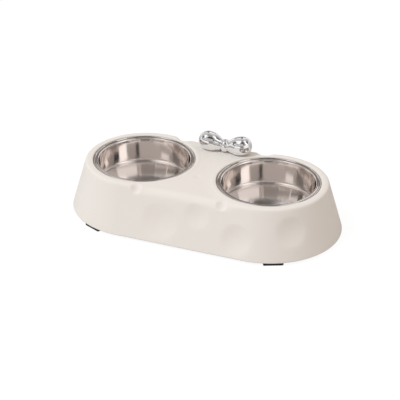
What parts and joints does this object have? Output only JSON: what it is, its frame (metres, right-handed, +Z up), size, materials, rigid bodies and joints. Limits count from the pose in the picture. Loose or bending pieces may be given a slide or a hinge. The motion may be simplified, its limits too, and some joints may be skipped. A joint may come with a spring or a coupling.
{
  "type": "double pet bowl",
  "caption": "Raised oval stand with dimpled leaning walls, holding steel feeding bowls that lift out of rimmed seats, with a bow ornament on the plate between them.",
  "frame": {"origin": "middle of the stand's box, on the floor that the rubber feet rest on", "axes": "+X from the left bowl to the right bowl, +Y to the rear edge where the bow stands, +Z up"},
  "size_m": [0.359, 0.189, 0.0919],
  "materials": {
    "cream_plastic": "satin cream moulding",
    "polished_steel": "mirror polished stainless steel",
    "bright_plating": "bright metal plating over a moulding",
    "black_rubber": "matte rubber",
    "screw_steel": "zinc plated"
  },
  "bodies": {
    "stand": {"base_shell": "cream_plastic", "front_left_foot": "black_rubber", "front_right_foot": "black_rubber", "rear_left_foot": "black_rubber", "rear_right_foot": "black_rubber", "bow_left_loop": "bright_plating", "bow_right_loop": "bright_plating", "bow_knot": "bright_plating", "bow_screws": "screw_steel"},
    "left_bowl": {"left_bowl": "polished_steel"},
    "right_bowl": {"right_bowl": "polished_steel"}
  },
  "joints": [
    {"name": "left_bowl_lift", "type": "slide", "parent": "stand", "child": "left_bowl", "axis": [0, 0, 1], "range_m": [0, 0.08]},
    {"name": "right_bowl_lift", "type": "slide", "parent": "stand", "child": "right_bowl", "axis": [0, 0, 1], "range_m": [0, 0.08]}
  ]
}
